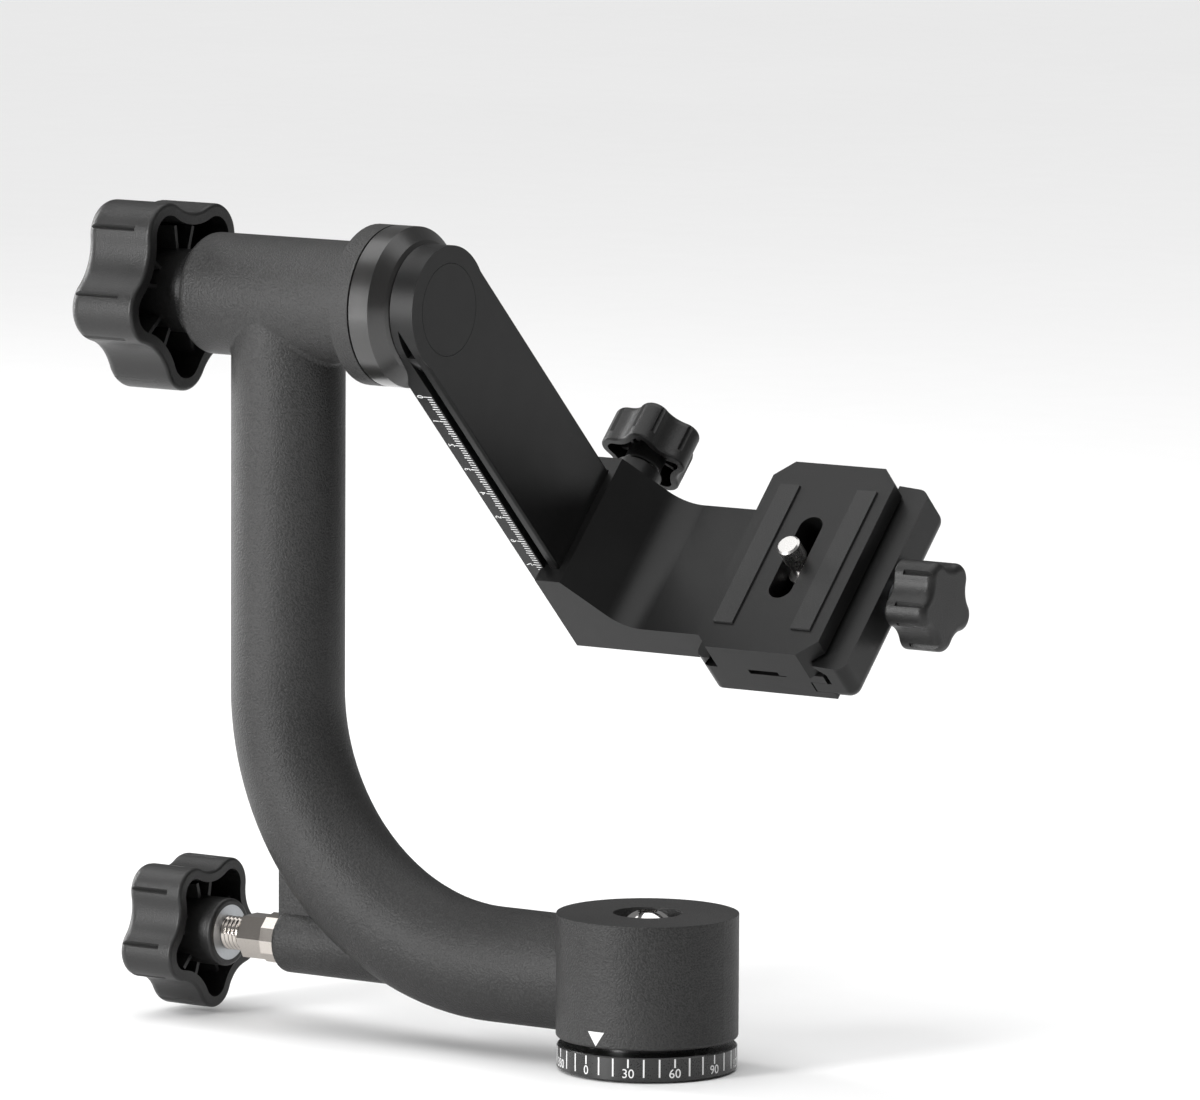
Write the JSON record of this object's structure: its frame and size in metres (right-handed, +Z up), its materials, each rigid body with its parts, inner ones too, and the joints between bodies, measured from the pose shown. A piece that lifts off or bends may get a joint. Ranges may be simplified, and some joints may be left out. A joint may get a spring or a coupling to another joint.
{
  "type": "gimbal tripod head",
  "caption": "Side-mount gimbal tripod head: J-shaped pan arm, tilting swing arm with height scale, dovetail camera clamp and lobed lock knobs.",
  "frame": {"origin": "on the pan axis at the bottom face that meets the tripod", "axes": "+Z up along the pan axis, +X along the tilt axis from the tilt knob towards the hub, +Y towards the side that the swing arm leans to at rest"},
  "size_m": [0.2074, 0.1334, 0.2153],
  "materials": {
    "powder_coat": "fine textured charcoal powder coat",
    "knob_plastic": "fine grained moulded black",
    "black_anodised": "black anodised, satin",
    "polished_anodised": "black anodised, turned and shiny",
    "ring_black": "black anodised, slightly glossy",
    "nickel": "nickel plated",
    "chromed": "bright chrome",
    "zinc": "zinc plated, satin",
    "bearing_steel": "ground steel",
    "stainless": "stainless steel",
    "aluminium_bare": "turned, bare",
    "brake_plastic": "natural acetal",
    "brass_gib": "turned brass",
    "strip_rubber": "moulded rubber"
  },
  "bodies": {
    "base": {"base_spindle": "ring_black", "degree_ring": "ring_black", "tripod_bush": "stainless", "pan_washer": "zinc", "pan_top_screw": "chromed"},
    "arm": {"arm_casting": "powder_coat", "pan_lower_bearing": "bearing_steel", "pan_upper_bearing": "bearing_steel", "pan_circlip": "nickel", "pan_lock_bush": "nickel", "tilt_bearing_knob_side": "bearing_steel", "tilt_bearing_hub_side": "bearing_steel"},
    "pan_brake": {"pan_brake_pad": "brake_plastic"},
    "pan_lock": {"pan_lock_rod": "nickel", "pan_lock_knob": "knob_plastic", "pan_knob_insert": "zinc"},
    "swing": {"tilt_disc": "polished_anodised", "tilt_friction_ring": "brake_plastic", "tilt_shaft": "bearing_steel", "tilt_shaft_spacer": "aluminium_bare", "swing_arm": "black_anodised", "hub_screw": "stainless", "hub_dowels": "bearing_steel", "swing_arm_cap": "black_anodised", "rail_stop_screw": "stainless"},
    "tilt_clamp": {"tilt_pressure_washer": "zinc"},
    "tilt_lock": {"tilt_lock_knob": "knob_plastic", "tilt_knob_nut": "zinc"},
    "bracket": {"l_bracket": "black_anodised", "clamp_body": "black_anodised", "clamp_mount_screws": "stainless"},
    "height_gib": {"height_lock_gib": "brass_gib"},
    "height_lock": {"height_lock_screw": "stainless", "height_lock_knob": "knob_plastic", "height_knob_insert": "zinc"},
    "jaw": {"moving_jaw": "black_anodised", "jaw_guide_pins": "bearing_steel"},
    "clamp_lock": {"clamp_screw": "stainless", "clamp_knob": "knob_plastic", "clamp_knob_insert": "zinc", "clamp_washer": "zinc"},
    "plate": {"quick_release_plate": "black_anodised", "plate_rubber_strips": "strip_rubber", "plate_stop_screws": "stainless"},
    "camera_stud": {"camera_screw": "stainless"}
  },
  "joints": [
    {"name": "pan_turn", "type": "hinge", "parent": "base", "child": "arm", "pos_m": [0, 0, 0], "axis": [0, 0, 1], "continuous": true},
    {"name": "pan_brake_slide", "type": "slide", "parent": "arm", "child": "pan_brake", "axis": [1, 0, 0], "range_m": [-0.00064, 0.00032]},
    {"name": "pan_lock_turn", "type": "hinge", "parent": "pan_brake", "child": "pan_lock", "pos_m": [0, 0, 0.022], "axis": [1, 0, 0], "range_deg": [-180, 90]},
    {"name": "tilt_turn", "type": "hinge", "parent": "arm", "child": "swing", "pos_m": [0, 0, 0.1915], "axis": [1, 0, 0], "continuous": true},
    {"name": "tilt_washer_slide", "type": "slide", "parent": "swing", "child": "tilt_clamp", "axis": [1, 0, 0], "range_m": [-0.00076, 0.00032]},
    {"name": "tilt_lock_turn", "type": "hinge", "parent": "tilt_clamp", "child": "tilt_lock", "pos_m": [0, 0, 0.1915], "axis": [1, 0, 0], "range_deg": [-180, 75]},
    {"name": "height_slide", "type": "slide", "parent": "swing", "child": "bracket", "axis": [0, -0.7169, 0.6972], "range_m": [0, 0.07]},
    {"name": "height_gib_slide", "type": "slide", "parent": "bracket", "child": "height_gib", "axis": [0, -0.6972, -0.7169], "range_m": [-0.00051, 0.00032]},
    {"name": "height_lock_turn", "type": "hinge", "parent": "height_gib", "child": "height_lock", "pos_m": [-0.0632, 0.07097, 0.12248], "axis": [0, -0.6972, -0.7169], "range_deg": [-180, 110]},
    {"name": "jaw_slide", "type": "slide", "parent": "bracket", "child": "jaw", "axis": [1, 0, 0], "range_m": [0, 0.0041]},
    {"name": "clamp_knob_turn", "type": "hinge", "parent": "jaw", "child": "clamp_lock", "pos_m": [0, 0.07929, 0.11439], "axis": [1, 0, 0], "range_deg": [0, 1800]},
    {"name": "plate_slide", "type": "slide", "parent": "bracket", "child": "plate", "axis": [0, 0.6972, 0.7169], "range_m": [-0.015, 0.015]},
    {"name": "camera_screw_turn", "type": "hinge", "parent": "plate", "child": "camera_stud", "pos_m": [0, 0.06848, 0.12491], "axis": [0, -0.7169, 0.6972], "continuous": true}
  ],
  "couplings": [
    {"joint": "pan_brake_slide", "follows": "pan_lock_turn", "m_per_rad": 0.00019894},
    {"joint": "tilt_washer_slide", "follows": "tilt_lock_turn", "m_per_rad": 0.00023873},
    {"joint": "height_gib_slide", "follows": "height_lock_turn", "m_per_rad": 0.00015915},
    {"joint": "jaw_slide", "follows": "clamp_knob_turn", "m_per_rad": 0.00012732}
  ]
}
